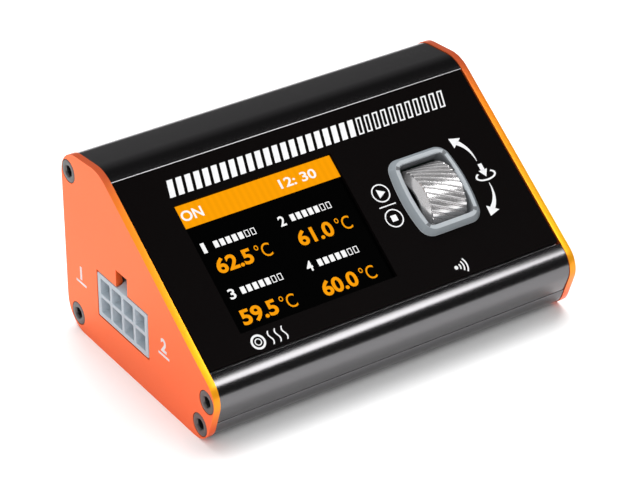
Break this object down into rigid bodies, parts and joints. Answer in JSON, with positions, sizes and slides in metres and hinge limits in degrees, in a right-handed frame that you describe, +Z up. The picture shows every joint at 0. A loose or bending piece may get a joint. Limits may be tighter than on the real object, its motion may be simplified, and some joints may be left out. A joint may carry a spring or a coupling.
{
  "type": "tyre warmer controller",
  "caption": "Wedge-shaped desk controller for tyre warmers: aluminium case with end plates, sloping display panel, knurled thumb roller that turns and presses, and multi-way sockets.",
  "frame": {"origin": "middle of the length and of the depth, on the surface that the case stands on", "axes": "+X to the right along the case as its user sees it, +Y to the back, +Z up"},
  "size_m": [0.0828, 0.053, 0.0398],
  "materials": {
    "black_anodised": "satin black anodised extrusion",
    "orange_anodised": "matt orange face with a bright orange-yellow edge",
    "screw_steel": "dark grey",
    "panel_black": "smooth black with white print",
    "display_glass": "black display face",
    "white_plastic": "plain",
    "bezel_grey": "satin cool grey",
    "bright_silver": "polished",
    "dark_plastic": "plain",
    "socket_grey": "light grey, satin",
    "tinned": "tinned",
    "brass": "bright brass",
    "board_green": "circuit board",
    "ribbon_white": "flat cable"
  },
  "bodies": {
    "case": {"capacitor_1": "bright_silver", "capacitor_2": "bright_silver", "display_backlight": "white_plastic", "display_glass": "display_glass", "driver_transistor_1": "dark_plastic", "driver_transistor_2": "dark_plastic", "driver_transistor_3": "dark_plastic", "driver_transistor_4": "dark_plastic", "front_board": "board_green", "front_panel": "panel_black", "inductor": "dark_plastic", "left_bottom_front_screw": "screw_steel", "left_bottom_rear_screw": "screw_steel", "left_end_plate": "orange_anodised", "left_nose_screw": "screw_steel", "left_socket": "socket_grey", "left_socket_pin_1": "tinned", "left_socket_pin_2": "tinned", "left_socket_pin_3": "tinned", "left_socket_pin_4": "tinned", "left_socket_pin_5": "tinned", "left_socket_pin_6": "tinned", "left_socket_pin_7": "tinned", "left_socket_pin_8": "tinned", "left_top_rear_screw": "screw_steel", "link_cable": "ribbon_white", "link_header": "white_plastic", "lower_shell": "black_anodised", "main_board": "board_green", "power_inlet": "dark_plastic", "power_inlet_pin_1": "brass", "power_inlet_pin_2": "brass", "press_switch": "dark_plastic", "processor": "dark_plastic", "radio_module": "tinned", "right_bottom_front_screw": "screw_steel", "right_bottom_rear_screw": "screw_steel", "right_end_plate": "orange_anodised", "right_nose_screw": "screw_steel", "right_socket": "socket_grey", "right_socket_pin_1": "tinned", "right_socket_pin_2": "tinned", "right_socket_pin_3": "tinned", "right_socket_pin_4": "tinned", "right_socket_pin_5": "tinned", "right_socket_pin_6": "tinned", "right_socket_pin_7": "tinned", "right_socket_pin_8": "tinned", "right_top_rear_screw": "screw_steel", "upper_shell": "black_anodised", "wheel_bezel": "bezel_grey", "wheel_board": "board_green", "wheel_frame": "dark_plastic"},
    "carrier": {"wheel_carrier": "dark_plastic", "wheel_encoder": "white_plastic", "press_switch_plunger": "white_plastic"},
    "wheel": {"wheel_rim": "bright_silver", "wheel_core": "dark_plastic", "wheel_axle": "tinned"}
  },
  "joints": [
    {"name": "wheel_press", "type": "slide", "parent": "case", "child": "carrier", "axis": [0, 0.5787, -0.8155], "range_m": [0, 0.0005], "stiffness_N_per_m": 3000, "springref_m": -0.0002},
    {"name": "wheel_spin", "type": "hinge", "parent": "carrier", "child": "wheel", "pos_m": [0.0205, -0.0054, 0.02178], "axis": [1, 0, 0], "continuous": true}
  ]
}
